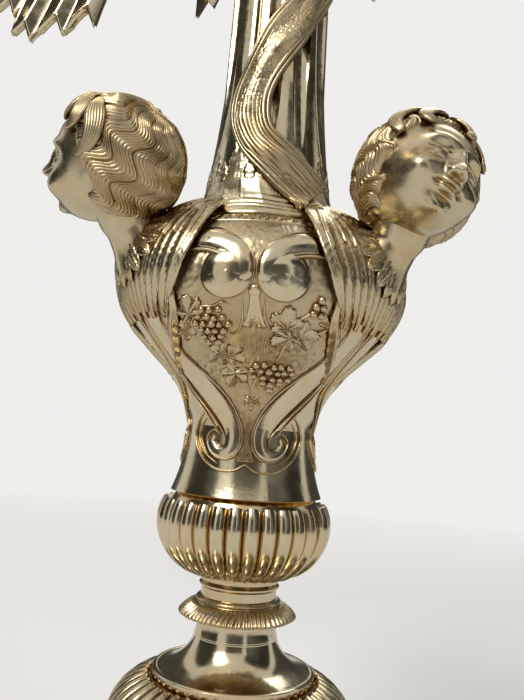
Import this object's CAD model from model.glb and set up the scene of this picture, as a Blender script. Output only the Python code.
"""Looks of the altar monstrance: chased silver-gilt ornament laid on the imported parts."""
import logging
import math
import random
from abc import ABC, abstractmethod
from collections.abc import Callable, Sequence
from dataclasses import dataclass, field
from enum import Enum

import bpy
import numpy as np
from mathutils import Matrix, Vector
from mathutils.bvhtree import BVHTree


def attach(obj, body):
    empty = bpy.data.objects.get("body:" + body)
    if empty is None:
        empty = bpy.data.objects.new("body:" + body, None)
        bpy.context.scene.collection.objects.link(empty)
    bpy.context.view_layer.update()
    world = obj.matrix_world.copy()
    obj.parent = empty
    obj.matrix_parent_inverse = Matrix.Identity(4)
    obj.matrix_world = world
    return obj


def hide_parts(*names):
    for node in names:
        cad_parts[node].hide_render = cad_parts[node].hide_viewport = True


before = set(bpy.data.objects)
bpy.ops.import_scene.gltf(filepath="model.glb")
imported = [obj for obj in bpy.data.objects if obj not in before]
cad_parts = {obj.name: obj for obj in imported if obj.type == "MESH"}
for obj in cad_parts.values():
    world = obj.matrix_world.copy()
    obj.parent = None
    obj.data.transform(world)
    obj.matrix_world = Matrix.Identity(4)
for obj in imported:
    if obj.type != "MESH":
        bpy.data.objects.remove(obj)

logging.basicConfig(level=logging.INFO, format="%(message)s")
log = logging.getLogger("monstrance")
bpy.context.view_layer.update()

Points = np.ndarray
Mesh = bpy.types.Object
Knots = Sequence[Sequence[float]]
Row = tuple[float, ...]
Line = tuple[Row, ...]
Placing = Callable[[Points, Points], Points]    # rows of points, for shares across (-1 to 1) and along (0 to 1)
Width = Callable[[Points], Points]              # half widths, for shares along
Rise = Callable[[Points, Points], Points]       # heights, for shares across and along
Carving = Callable[[Points, Points, Points], tuple[Points, Points]]    # additions to radius and height

MM = 0.001              # metres in a millimetre
TAU = 2 * math.pi
TINY = 1e-9             # keeps a division by a length safe
FRONT = -75.4           # angle of the front panel's middle, in degrees from +X
CHERUBS = (("left", -135.4), ("right", -15.4), ("back", 104.6))    # name and angle of each, from +X
SINK = 0.1              # millimetres that a raised line or swelling sinks in at its edge
GLORY_HEIGHT = 540.0    # height of the sunburst's middle, in millimetres


class Slot(Enum):
    """The record's material slots."""

    POLISHED = "polished_gilt"
    SATIN = "satin_gilt"
    STEEL = "steel"
    GLASS = "glass"


# ------------------------------------------------------------------ finishes

def link_nodes(tree: bpy.types.NodeTree, kind: str, **values: object) -> bpy.types.Node:
    """Add a shader node and set its inputs or properties.

    Args:
        tree: The material's node tree.
        kind: The node's type name without the ShaderNode prefix.
        **values: Socket values or properties by name, spaces as underscores.

    Returns:
        The new node.
    """
    node = tree.nodes.new("ShaderNode" + kind)
    for name, value in values.items():
        if hasattr(node, name):
            setattr(node, name, value)
            continue
        socket = node.inputs[name.replace("_", " ")]
        if isinstance(value, bpy.types.NodeSocket):
            tree.links.new(value, socket)
        else:
            socket.default_value = value
    return node


def empty_tree(owner: bpy.types.Material | bpy.types.World) -> bpy.types.NodeTree:
    """Turn on the nodes of a material or world, and clear them.

    Args:
        owner: The material or world.

    Returns:
        Its cleared node tree.
    """
    owner.use_nodes = True
    owner.node_tree.nodes.clear()
    return owner.node_tree


def ranged(tree: bpy.types.NodeTree, value: bpy.types.NodeSocket, low: float = 0.0, high: float = 1.0,
           start: float = 0.0, end: float = 1.0) -> bpy.types.NodeSocket:
    """Carry a value from the range low to high over to the range start to end."""
    return link_nodes(tree, "MapRange", Value=value, From_Min=low, From_Max=high, To_Min=start,
                      To_Max=end).outputs["Result"]


def larger_of(tree: bpy.types.NodeTree, *values: bpy.types.NodeSocket) -> bpy.types.NodeSocket:
    """The larger of two values.

    Args:
        tree: The node tree that they are in.
        *values: The two values.

    Returns:
        The larger value.
    """
    node = link_nodes(tree, "Math", operation="MAXIMUM")
    for value, socket in zip(values, node.inputs):
        tree.links.new(value, socket)
    return node.outputs[0]


@dataclass(frozen=True)
class Gilding:
    """Silver-gilt with warm gold left in the hollows.

    Attributes:
        name: Material name.
        pale: Worn colour on the open surface.
        warm: Gold that stays in hollows and shelter.
        roughness: Middle roughness.
        grain: Depth of the fine tool marks, in metres.
        grain_scale: Number of tool marks per metre.
        shelter: How far a hollow reaches, in metres.
        patch_scale: Number of worn patches per metre.
        smear_scale: Number of smears per metre.
    """

    name: str
    pale: tuple[float, float, float]
    warm: tuple[float, float, float]
    roughness: float
    grain: float = 0.00002
    grain_scale: float = 900.0
    shelter: float = 0.004
    patch_scale: float = 55.0
    smear_scale: float = 230.0

    def make(self) -> bpy.types.Material:
        """Build the material.

        Returns:
            The material.
        """
        material = bpy.data.materials.new(self.name)
        tree = empty_tree(material)
        where = link_nodes(tree, "TexCoord").outputs["Object"]
        hollow = link_nodes(tree, "AmbientOcclusion", samples=6, Distance=self.shelter)
        shade = ranged(tree, hollow.outputs["AO"], low=0.25, high=0.85, start=1.0, end=0.0)
        wear = link_nodes(tree, "TexNoise", Vector=where, Scale=self.patch_scale, Detail=5.0, Roughness=0.6)
        patch = ranged(tree, wear.outputs["Fac"], low=0.42, high=0.72, end=0.45)
        colour = link_nodes(tree, "Mix", data_type="RGBA", Factor=larger_of(tree, shade, patch))
        for socket in colour.inputs:
            if socket.type == "RGBA":
                socket.default_value = (*(self.pale if socket.name == "A" else self.warm), 1.0)
        mixed = next(item for item in colour.outputs if item.type == "RGBA")
        smear = link_nodes(tree, "TexNoise", Vector=where, Scale=self.smear_scale, Detail=3.0)
        rough = ranged(tree, smear.outputs["Fac"], low=0.3, high=0.7, start=self.roughness * 0.7,
                       end=self.roughness * 1.35)
        marks = link_nodes(tree, "TexNoise", Vector=where, Scale=self.grain_scale, Detail=2.0)
        relief = link_nodes(tree, "Bump", Height=marks.outputs["Fac"], Distance=self.grain, Strength=1.0)
        shader = link_nodes(tree, "BsdfPrincipled", Metallic=1.0, Base_Color=mixed, Roughness=rough,
                            Normal=relief.outputs["Normal"])
        link_nodes(tree, "OutputMaterial", Surface=shader.outputs["BSDF"])
        return material


@dataclass(frozen=True)
class PlainFinish:
    """A plain surface: steel, glass or the studio's paper.

    Attributes:
        name: Material name.
        colour: Base colour.
        roughness: Surface roughness.
        metallic: One for metal.
        clear: Share of light passed through.
        mark_scale: Number of fine marks per metre.
    """

    name: str
    colour: tuple[float, float, float]
    roughness: float
    metallic: float = 0.0
    clear: float = 0.0
    mark_scale: float = 400.0

    def make(self) -> bpy.types.Material:
        """Build the material.

        Returns:
            The material.
        """
        material = bpy.data.materials.new(self.name)
        material.use_nodes = True
        tree = material.node_tree
        inputs = tree.nodes["Principled BSDF"].inputs
        inputs["Base Color"].default_value = (*self.colour, 1.0)
        inputs["Metallic"].default_value = self.metallic
        inputs["Transmission Weight"].default_value = self.clear
        where = link_nodes(tree, "TexCoord").outputs["Object"]
        marks = link_nodes(tree, "TexNoise", Vector=where, Scale=self.mark_scale, Detail=3.0)
        rough = ranged(tree, marks.outputs["Fac"], start=self.roughness * 0.8, end=self.roughness * 1.25)
        tree.links.new(rough, inputs["Roughness"])
        return material


Finish = Gilding | PlainFinish
POLISHED = Gilding("polished gilt", (0.55, 0.485, 0.34), (0.50, 0.31, 0.09), 0.17)
SATIN = Gilding("satin gilt", (0.50, 0.43, 0.28), (0.42, 0.25, 0.07), 0.27, grain=0.00004)
CHASED = Gilding("chased gilt", (0.46, 0.385, 0.24), (0.36, 0.20, 0.05), 0.33, grain=0.00006,
                 grain_scale=1500.0, shelter=0.002)
STEEL = PlainFinish("plain steel", (0.55, 0.55, 0.56), 0.35, metallic=1.0)
GLASS = PlainFinish("clear glass", (0.97, 0.98, 0.98), 0.02, clear=1.0)
PAPER = PlainFinish("studio paper", (0.86, 0.85, 0.83), 0.9)
PACKED_FINISHES = {Slot.POLISHED: POLISHED, Slot.SATIN: SATIN, Slot.STEEL: STEEL, Slot.GLASS: GLASS}


class Workshop:
    """Holds the made materials and the steps that every piece goes through."""

    def __init__(self) -> None:
        """Start with no materials and no pieces."""
        self.materials: dict[str, bpy.types.Material] = {}
        self.count = 0

    def material_of(self, finish: Finish) -> bpy.types.Material:
        """The material of a finish, made once.

        Args:
            finish: The finish.

        Returns:
            Its material.
        """
        if finish.name not in self.materials:
            self.materials[finish.name] = finish.make()
        return self.materials[finish.name]

    def dress_packed_parts(self) -> None:
        """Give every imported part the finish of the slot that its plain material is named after."""
        for node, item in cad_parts.items():
            for place in item.material_slots:
                finish = PACKED_FINISHES[Slot(place.material.name.split(".")[0])]
                place.material = self.material_of(finish)
                log.info("dressed %s in %s", node, finish.name)

    def deliver(self, piece: Mesh, name: str, finish: Finish, body: str = "stand",
                replaces: Sequence[str] = ()) -> None:
        """Turn millimetres to metres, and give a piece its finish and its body.

        Args:
            piece: Finished mesh, in millimetres.
            name: Its name.
            finish: Its finish.
            body: The body that carries it.
            replaces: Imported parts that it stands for.
        """
        piece.name = piece.data.name = name
        piece.data.transform(Matrix.Scale(MM, 4))
        piece.data.materials.clear()
        piece.data.materials.append(self.material_of(finish))
        piece.data.polygons.foreach_set("use_smooth", [True] * len(piece.data.polygons))
        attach(piece, body)
        if replaces:
            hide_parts(*replaces)
        self.count += 1
        log.info("%s: %d faces on %s", name, len(piece.data.polygons), body)


# ------------------------------------------------------------------ bench operations

def alone(piece: Mesh | None = None) -> None:
    """Select one piece and nothing else, or nothing at all.

    Args:
        piece: The piece, or None to select nothing.
    """
    bpy.ops.object.select_all(action="DESELECT")
    if piece is not None:
        piece.select_set(True)
        bpy.context.view_layer.objects.active = piece


def coordinates(piece: Mesh) -> Points:
    """A mesh's points as an array of rows.

    Args:
        piece: The mesh.

    Returns:
        One row for each point.
    """
    points = np.zeros(len(piece.data.vertices) * 3)
    piece.data.vertices.foreach_get("co", points)
    return points.reshape(-1, 3)


def move_points(piece: Mesh, points: Points) -> None:
    """Give a mesh new places for its points."""
    piece.data.vertices.foreach_set("co", np.asarray(points, float).ravel())
    piece.data.update()


def tidy_mesh(piece: Mesh, merge: float = 0.002) -> Mesh:
    """Merge doubled points and turn the faces outwards.

    Args:
        piece: The mesh.
        merge: Distance within which points are merged, in millimetres.

    Returns:
        The same mesh.
    """
    alone(piece)
    bpy.ops.object.mode_set(mode="EDIT")
    bpy.ops.mesh.select_all(action="SELECT")
    bpy.ops.mesh.remove_doubles(threshold=merge)
    bpy.ops.mesh.normals_make_consistent(inside=False)
    bpy.ops.object.mode_set(mode="OBJECT")
    return piece


def give_wall(piece: Mesh, thickness: float) -> None:
    """Give a sheet its thickness, below its face.

    Args:
        piece: The sheet.
        thickness: Thickness of its wall.
    """
    modifier = piece.modifiers.new("Wall", "SOLIDIFY")
    modifier.thickness, modifier.offset = thickness, -1.0
    alone(piece)
    bpy.ops.object.modifier_apply(modifier=modifier.name)


def join(pieces: Sequence[Mesh]) -> Mesh:
    """Join meshes into the first of them.

    Args:
        pieces: The meshes.

    Returns:
        The first mesh, with the others in it.
    """
    alone(pieces[0])
    for piece in pieces[1:]:
        piece.select_set(True)
    if len(pieces) > 1:
        bpy.ops.object.join()
    return pieces[0]


def moved_copy(piece: Mesh, move: Matrix) -> Mesh:
    """A copy with its own mesh, moved.

    Args:
        piece: The mesh to copy.
        move: The move.

    Returns:
        The copy.
    """
    copy = piece.copy()
    copy.data = piece.data.copy()
    bpy.context.scene.collection.objects.link(copy)
    copy.data.transform(move)
    return copy


def turned_copy(piece: Mesh, degrees: float) -> Mesh:
    """A copy with its own mesh, turned about the stem."""
    return moved_copy(piece, Matrix.Rotation(math.radians(degrees), 4, "Z"))


def ring_of(piece: Mesh, count: int) -> Mesh:
    """Copies of a piece set evenly round the stem, joined."""
    return join([piece] + [turned_copy(piece, 360.0 * step / count) for step in range(1, count)])


def bead(place: Sequence[float], radius: float) -> Mesh:
    """A round bead, from an icosphere.

    Args:
        place: Place of its middle.
        radius: Its radius.

    Returns:
        The bead.
    """
    alone()
    bpy.ops.mesh.primitive_ico_sphere_add(subdivisions=2, radius=radius, location=tuple(place))
    bpy.ops.object.transform_apply(location=True, rotation=False, scale=True)
    return bpy.context.active_object


def sheet(columns: int, rows: int, place: Placing, thickness: float = 0.0, weld: bool = False) -> Mesh:
    """A grid that is laid where a function says, with a thickness.

    Args:
        columns: Faces across.
        rows: Faces along.
        place: Gives the points for shares across (-1 to 1) and along (0 to 1).
        thickness: Wall given below the sheet.
        weld: True where edges of the sheet meet.

    Returns:
        The sheet.
    """
    alone()
    bpy.ops.mesh.primitive_grid_add(x_subdivisions=columns, y_subdivisions=rows, size=2.0)
    piece = bpy.context.active_object
    flat = coordinates(piece)
    move_points(piece, place(flat[:, 0], (flat[:, 1] + 1.0) / 2.0))
    if weld:
        tidy_mesh(piece)
    if thickness:
        give_wall(piece, thickness)
    return piece


# ------------------------------------------------------------------ lines and swellings

def smooth_line(knots: Knots, share: Points) -> Points:
    """Points on a smooth line through a few knots.

    Args:
        knots: The knots, each of two or three numbers.
        share: Places along the line, held between 0 and 1.

    Returns:
        One row for each share.
    """
    k = np.asarray(knots, float)
    k = np.vstack([2 * k[0] - k[1], k, 2 * k[-1] - k[-2]])
    reach = np.clip(share, 0.0, 1.0) * (len(k) - 3)
    index = np.minimum(reach.astype(int), len(k) - 4)
    t = (reach - index)[:, None]
    a, b, c, e = k[index], k[index + 1], k[index + 2], k[index + 3]
    return 0.5 * (2 * b + (c - a) * t + (2 * a - 5 * b + 4 * c - e) * t ** 2
                  + (3 * b - a - 3 * c + e) * t ** 3)


def unit(rows: Points) -> Points:
    """Rows brought to unit length."""
    return rows / (np.linalg.norm(rows, axis=1)[:, None] + TINY)


def heading(line: Callable[[Points], Points], along: Points, step: float = 0.01) -> Points:
    """Unit direction of a line, given as a function of the share along it."""
    return unit(line(np.minimum(along + step, 1.0)) - line(np.maximum(along - step, 0.0)))


def about_stem(radius: Points, angle: Points, height: Points) -> Points:
    """Points at a radius, an angle in radians and a height."""
    return np.column_stack([radius * np.cos(angle), radius * np.sin(angle), height])


def rounded(share: Points, power: float = 2.0) -> Points:
    """A rounded top: one in the middle, zero at shares of one."""
    return np.sqrt(np.maximum(0.0, 1.0 - np.abs(share) ** power))


def hill(at: Points, middle: float, width: float) -> Points:
    """A smooth hill: one at its middle, faded away past its width."""
    return np.exp(-((at - middle) / width) ** 2)


def tapering(shares: Sequence[float], halves: Sequence[float]) -> Width:
    """A half width that passes through given halves at given shares along."""
    return lambda along: np.interp(along, shares, halves)


def mirrored(knots: Knots, hand: int) -> list[tuple[float, ...]]:
    """The same knots on the other side of the middle where hand is -1."""
    return [(hand * knot[0], *knot[1:]) for knot in knots]


def turned_shell(profile: Knots, spokes: int, rings: int, carve: Carving | None = None) -> Mesh:
    """A shell turned about the stem.

    Args:
        profile: Radius and height of the outline's knots.
        spokes: Faces round it.
        rings: Faces along its outline.
        carve: Gives what is added to radius and height, for angle, share along and plain radius.

    Returns:
        The shell.
    """
    def shell(across: Points, along: Points) -> Points:
        """Points of the shell."""
        radius, height = smooth_line(profile, along).T
        angle = across * math.pi
        wider, higher = carve(angle, along, radius) if carve else (0.0, 0.0)
        return about_stem(radius + wider, angle, height + higher)

    return sheet(spokes, rings, shell, weld=True)


# ------------------------------------------------------------------ surfaces that carry ornament

class Carrier(ABC):
    """A surface that carries ornament, by places beside and along its middle line."""

    @abstractmethod
    def spread(self, along: Points) -> Points:
        """Millimetres that one unit beside the middle line stands for."""

    @abstractmethod
    def place(self, beside: Points, along: Points, lift: Points) -> Points:
        """Points on or above the surface.

        Args:
            beside: Places beside the middle line, in the surface's own unit.
            along: Distances along the middle line, in millimetres.
            lift: Heights above the surface.

        Returns:
            One row for each point.
        """

    def lay(self, side: Points, up: Points, lift: Points) -> Points:
        """Points on or above the surface, with sideways places in millimetres."""
        return self.place(side / self.spread(up), up, lift)

    def strip(self, knots: Knots, half_width: Width, rise: Rise, columns: int = 6, rows: int = 40,
              thickness: float = 0.5) -> Mesh:
        """A strip laid along a smooth line.

        Args:
            knots: Sideways and upward places of the line's knots in millimetres, with or without lifts.
            half_width: Half the strip's width for shares along.
            rise: Height for shares across (-1 to 1) and along (0 to 1).
            columns: Faces across.
            rows: Faces along.
            thickness: Wall below the strip.

        Returns:
            The strip.
        """
        def laid(across: Points, along: Points) -> Points:
            """Points of the strip."""
            middle = smooth_line(knots, along)
            ahead = heading(lambda share: smooth_line(knots, share)[:, :2], along)
            offset = across * half_width(along)
            lift = rise(across, along) + (middle[:, 2] if middle.shape[1] > 2 else 0.0)
            return self.lay(middle[:, 0] + offset * ahead[:, 1], middle[:, 1] - offset * ahead[:, 0], lift)

        return sheet(columns, rows, laid, thickness)

    def wire(self, knots: Knots, width: float, height: float, rows: int = 40, taper: float = 0.6) -> Mesh:
        """A thin raised line, thinner towards its ends.

        Args:
            knots: Places of its knots.
            width: Half width in the middle.
            height: Height in the middle.
            rows: Faces along.
            taper: Share of the width lost at the ends.

        Returns:
            The line.
        """
        def slim(along: Points) -> Points:
            """Half width."""
            return width * (1.0 - taper * np.abs(2 * along - 1.0) ** 3)

        def round_over(across: Points, along: Points) -> Points:
            """Rounded height, sunk a little at its edges."""
            return height * rounded(across) * slim(along) / width - SINK

        return self.strip(knots, slim, round_over, rows=rows, thickness=0.3)

    def boss(self, place: Sequence[float], radius: float, height: float, rings: int = 14,
             spokes: int = 48) -> Mesh:
        """A round swelling.

        Args:
            place: Sideways and upward place of its middle.
            radius: Its radius.
            height: Its height.
            rings: Faces from middle to edge.
            spokes: Faces round it.

        Returns:
            The swelling.
        """
        def dome(across: Points, along: Points) -> Points:
            """Points of the swelling, round and outwards."""
            run, angle = radius * along, across * math.pi
            return self.lay(place[0] + run * np.cos(angle), place[1] + run * np.sin(angle),
                            height * rounded(along, 2.6) - SINK)

        return sheet(spokes, rings, dome, thickness=0.3, weld=True)

    def vine_leaf(self, place: Sequence[float], size: float, aim: float, lift: float) -> Mesh:
        """A leaf of five lobes with raised veins and a toothed edge.

        Args:
            place: Sideways and upward place of its stalk end.
            size: Length of its middle lobe.
            aim: Direction of the middle lobe, in degrees anticlockwise from sideways.
            lift: Height of its edge.

        Returns:
            The leaf.
        """
        turn, step, outer = math.radians(aim), math.radians(58.0), 2

        def blade(across: Points, along: Points) -> Points:
            """Points of the leaf, round its stalk end and outwards."""
            angle = across * math.pi
            lobe = np.clip(np.round(angle / step), -outer, outer)
            off = angle - lobe * step
            reach = (1.0 - 0.16 * np.abs(lobe)) * np.maximum(0.34, np.cos(off * 1.55))
            run = size * along * reach * (1.0 + 0.07 * np.cos(off * 26.0) * along)
            vein = 0.42 * hill(off * run, 0.0, 0.35) * (1.0 - 0.5 * along)
            furrow = 0.16 * np.cos((along * size - np.abs(off) * size * 0.9) * 4.2)
            cup = 0.6 * (1.0 - along ** 2) + 0.4 * np.cos(off * 5.4) * along * (1.0 - 0.55 * along)
            return self.lay(place[0] + run * np.cos(angle + turn), place[1] + run * np.sin(angle + turn),
                            lift + cup + vein + furrow)

        return sheet(72, 9, blade, thickness=0.35, weld=True)

    def leaf(self, knots: Knots, half: float, height: float, notches: float, columns: int = 10,
             rows: int = 40) -> Mesh:
        """An upright leaf with a midrib, side veins and a scalloped edge.

        Args:
            knots: Places of its midrib, root first.
            half: Half its widest width.
            height: Height of its body.
            notches: Number of scallops on each edge.
            columns: Faces across.
            rows: Faces along.

        Returns:
            The leaf.
        """
        def outline(along: Points) -> Points:
            """Half width, with scallops."""
            body = np.sin(math.pi * (0.2 + 0.8 * along)) ** 0.6
            return half * np.maximum(0.04, body * (0.86 + 0.14 * np.cos(along * notches * TAU)))

        def relief(across: Points, along: Points) -> Points:
            """Body, midrib, veins and hollows."""
            rib = 0.45 * hill(across, 0.0, 0.16) * (1.0 - along)
            veins = 0.16 * np.cos((along * notches - np.abs(across) * 0.5) * TAU) * np.abs(across)
            return height * (1.0 - 0.6 * across ** 2) + rib + veins - 0.14 * np.cos(across * TAU)

        return self.strip(knots, outline, relief, columns, rows)

    def feather(self, knots: Knots, half: float, barbs: float, columns: int = 8, rows: int = 26) -> Mesh:
        """One feather with a quill and slanting barbs.

        Args:
            knots: Places and lifts of its quill, root first.
            half: Half its widest width.
            barbs: Number of barb grooves.
            columns: Faces across.
            rows: Faces along.

        Returns:
            The feather.
        """
        def outline(along: Points) -> Points:
            """Half width, pointed at the tip."""
            tip = 1.0 - np.clip((along - 0.6) / 0.4, 0.0, 1.0) ** 1.7
            return half * np.minimum(1.0, 0.6 + 1.6 * along) * np.maximum(tip, 0.03)

        def relief(across: Points, along: Points) -> Points:
            """Body and quill, with the grooves between barbs."""
            phase = (along * barbs - np.abs(across) * 1.5) % 1.0
            groove = 0.26 * hill(phase, 0.5, 0.2) * np.clip(np.abs(across) * 6.0 - 0.8, 0.0, 1.0)
            return 0.32 * (1.0 - across ** 2) + 0.5 * hill(across, 0.0, 0.13) - groove

        return self.strip(knots, outline, relief, columns, rows, thickness=0.7)


@dataclass
class Turned(Carrier):
    """Outside of a turned part: places are an angle and a distance along its outline.

    Attributes:
        node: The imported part.
        low: Lowest height used, in millimetres.
        high: Highest height used.
        datum: Height where the distance along the outline is zero.
        facing: Angle of the ornament's middle, in degrees from +X.
        crest: Which of the radii round the part counts: 1 for the crests, less to pass over bosses.
        samples: Number of heights measured.
        arc: Measured distances along the outline.
        radii: Measured radii.
        heights: Measured heights.
    """

    node: str
    low: float
    high: float
    datum: float
    facing: float = 0.0
    crest: float = 1.0
    samples: int = 160
    arc: Points = field(init=False)
    radii: Points = field(init=False)
    heights: Points = field(init=False)

    def __post_init__(self) -> None:
        """Measure the part's outline."""
        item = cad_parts[self.node]
        tree = BVHTree.FromPolygons([tuple(v.co) for v in item.data.vertices],
                                    [tuple(p.vertices) for p in item.data.polygons])
        self.heights = np.linspace(self.low, self.high, self.samples)
        self.radii = np.array([self.radius_at(tree, height) for height in self.heights])
        run = np.hypot(np.diff(self.radii), np.diff(self.heights))
        self.arc = np.concatenate([[0.0], np.cumsum(run)])
        self.arc -= np.interp(self.datum, self.heights, self.arc)

    def radius_at(self, tree: BVHTree, height: float, turns: int = 24, first: float = 4.0,
                  start: float = 0.3) -> float:
        """The radius that counts at a height, felt for from outside.

        Args:
            tree: The part's faces.
            height: The height, in millimetres.
            turns: Number of places round the part.
            first: Angle of the first place, in degrees from +X.
            start: Distance from the stem where each search starts, in metres.

        Returns:
            The radius, in millimetres.
        """
        found = [0.0]
        for turn in range(turns):
            angle = math.radians(360.0 / turns * turn + first)
            out = Vector((math.cos(angle), math.sin(angle), 0.0))
            hit = tree.ray_cast(out * start + Vector((0.0, 0.0, height * MM)), -out)[0]
            if hit is not None:
                found.append(math.hypot(hit.x, hit.y) / MM)
        return float(np.quantile(found, self.crest))

    def spread(self, along: Points) -> Points:
        """Radius, which is millimetres per radian, at a distance along the outline."""
        return np.interp(along, self.arc, self.radii)

    def place(self, beside: Points, along: Points, lift: Points) -> Points:
        """Points at angles in radians, lifted square to the outline.

        Args:
            beside: Angles from the facing, in radians.
            along: Distances along the outline, in millimetres.
            lift: Heights above the outline.

        Returns:
            One row for each point.
        """
        step = 0.3
        low, high = along - step, along + step
        slope_r = self.spread(high) - self.spread(low)
        slope_z = np.interp(high, self.arc, self.heights) - np.interp(low, self.arc, self.heights)
        size = np.hypot(slope_r, slope_z) + TINY
        radius = self.spread(along) + lift * slope_z / size
        height = np.interp(along, self.arc, self.heights) - lift * slope_r / size
        return about_stem(radius, beside + math.radians(self.facing), height)


@dataclass
class FlatFront(Carrier):
    """A flat face of the sunburst: places are sideways and upwards from its middle.

    Attributes:
        height: Height of its middle.
        front: How far forward the face is.
    """

    height: float = GLORY_HEIGHT
    front: float = 6.8

    def spread(self, along: Points) -> Points:
        """One, because sideways places are already lengths."""
        return np.ones_like(np.asarray(along, float))

    def place(self, beside: Points, along: Points, lift: Points) -> Points:
        """Points on or before the face."""
        return np.column_stack([beside, -(self.front + lift), self.height + along])


def vase_side(facing: float) -> Turned:
    """The vase's surface, with its middle line at an angle in degrees from +X."""
    return Turned("vase_body", low=118.0, high=207.2, datum=183.75, facing=facing, crest=0.4)


@dataclass
class Cartouches:
    """Three chased panels on the vase, with volutes, vine and grapes.

    Lines are given by sideways and upward millimetres from the panel's middle, on one side of it.

    Attributes:
        panels: Number of panels.
        buds: Number of leaves in the border above the panels.
        disc_radius: Radius of the upper volutes.
        berry: Radius of a grape.
        bottom: Lowest place of the panel's ground.
        top: Highest place of the panel's ground.
        edge_up: Upward places where the ground's half width is given.
        edge_half: The half widths there.
        scroll_tail: Band that runs into the upper volute.
        hook: Line along that band's middle.
        scroll_edge: Line round the upper volute.
        inner_edge: Line on the panel's side of the long band.
        outer_edge: Line on the wing's side of the long band.
        band_line: Middle of the long band.
        foot_scroll: Line round the lower volute.
        foot_scroll_inner: Second line within it.
        stems: Vine stems and tendrils.
        leaves: Stalk end, length, aim and lift of each leaf.
        bunches: Top, grapes in each row and drift of each bunch.
        vase: The measured surface of the vase.
    """

    panels: int = 3
    buds: int = 52
    disc_radius: float = 7.4
    berry: float = 1.2
    bottom: float = -62.5
    top: float = 17.0
    edge_up: Row = (-62.5, -58.0, -53.5, -48.2, -41.9, -35.3, -27.5, -18.8, -12.0, -8.0, 0.0, 6.0, 12.5, 17.0)
    edge_half: Row = (2.6, 1.9, 1.5, 3.2, 7.3, 13.8, 22.7, 29.8, 32.6, 34.0, 33.0, 29.0, 26.0, 24.0)
    scroll_tail: Line = ((27.5, 6.0), (20.5, 8.6), (13.5, 8.7), (7.5, 6.2), (4.2, 1.6), (4.0, -2.6),
                         (6.6, -5.2))
    hook: Line = ((29.0, 2.4), (23.0, 4.0), (16.2, 4.4), (11.4, 3.4), (8.2, 1.2), (7.6, -1.4))
    scroll_edge: Line = ((26.0, 10.8), (19.0, 13.2), (12.4, 13.0), (4.8, 8.6), (0.9, 3.0), (0.5, -2.4),
                         (2.8, -6.9), (7.8, -9.0), (12.8, -7.7), (15.7, -3.8), (15.0, 0.4), (12.6, 1.6))
    inner_edge: Line = ((34.0, -8.0), (32.6, -12.0), (29.8, -18.8), (22.7, -27.5), (13.8, -35.3), (7.3, -41.9),
                        (3.2, -48.2), (1.5, -53.8), (2.2, -59.0), (5.4, -61.9), (10.2, -61.0), (13.0, -56.4),
                        (11.2, -53.4), (9.2, -54.2))
    outer_edge: Line = ((41.5, -5.0), (40.0, -11.0), (37.0, -18.0), (29.5, -29.4), (20.6, -40.2), (12.4, -48.2),
                        (7.4, -54.0), (6.7, -57.0))
    band_line: Line = ((38.4, -6.0), (36.5, -12.0), (33.0, -19.0), (25.9, -28.6), (17.0, -37.9), (9.7, -45.4),
                       (5.4, -51.0), (4.1, -55.4), (5.4, -59.4), (9.0, -60.0), (11.4, -57.2), (10.2, -54.9))
    foot_scroll: Line = ((15.4, -48.2), (17.8, -51.4), (18.2, -56.0), (14.9, -61.6), (9.2, -65.2), (3.6, -65.4),
                         (0.0, -63.2))
    foot_scroll_inner: Line = ((14.2, -50.0), (16.2, -52.8), (16.3, -56.2), (13.4, -60.6), (8.9, -63.5))
    stems: tuple[Line, ...] = (
        ((-3.3, -8.2), (-2.9, -13.4), (-3.4, -17.8), (-5.0, -20.2), (-6.8, -19.8), (-6.6, -18.2)),
        ((3.3, -8.2), (3.2, -13.0), (4.7, -17.2), (6.9, -18.9), (8.4, -17.8)),
        ((-6.4, -11.0), (-9.0, -10.2), (-12.0, -11.4), (-16.4, -11.6), (-18.6, -13.4)),
        ((8.0, -17.6), (9.4, -22.0), (8.6, -26.0), (6.8, -30.0)),
        ((9.6, -16.6), (14.0, -13.4), (18.0, -10.4), (20.6, -8.0)),
        ((-12.0, -24.6), (-9.6, -27.4), (-6.0, -29.6), (-4.4, -33.4), (-1.0, -38.0), (0.6, -43.0)),
        ((16.0, -19.8), (20.0, -17.0), (24.0, -15.0)))
    leaves: tuple[tuple[tuple[float, float], float, float, float], ...] = (
        ((9.6, -16.6), 6.6, 82.0, 0.9), ((10.6, -19.4), 6.0, 215.0, 0.5), ((13.6, -19.2), 6.8, 8.0, 0.5),
        ((-18.6, -13.4), 5.6, 118.0, 0.5), ((-20.2, -18.6), 5.4, 205.0, 0.4), ((-8.6, -27.0), 5.4, 212.0, 0.4),
        ((-6.4, -27.6), 5.2, 335.0, 0.4), ((-4.4, -33.4), 5.6, 250.0, 0.3), ((23.0, -14.6), 5.0, 60.0, 0.3),
        ((0.6, -43.0), 3.6, 268.0, 0.2))
    bunches: tuple[tuple[tuple[float, float], tuple[int, ...], float], ...] = (
        ((-12.4, -12.6), (3, 4, 5, 4, 3, 2), 0.25), ((6.6, -30.6), (5, 6, 5, 3, 1), -0.25),
        ((19.6, -7.4), (1, 2, 2), -0.6))
    vase: Turned = field(default_factory=lambda: vase_side(FRONT))

    def ground(self) -> Mesh:
        """Stippled ground of a panel.

        Returns:
            The ground.
        """
        grain = np.random.default_rng(4)

        def stipple(across: Points, along: Points) -> Points:
            """Points of the ground, with its grains."""
            up = self.bottom + along * (self.top - self.bottom)
            side = across * np.interp(up, self.edge_up, self.edge_half)
            edge = np.minimum(1.0, (1.0 - np.abs(across)) * 14.0)
            lift = 0.12 + edge * (0.1 + 0.32 * grain.random(len(across)))
            return self.vase.lay(side, up, lift)

        return sheet(104, 130, stipple, thickness=0.3)

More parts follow.
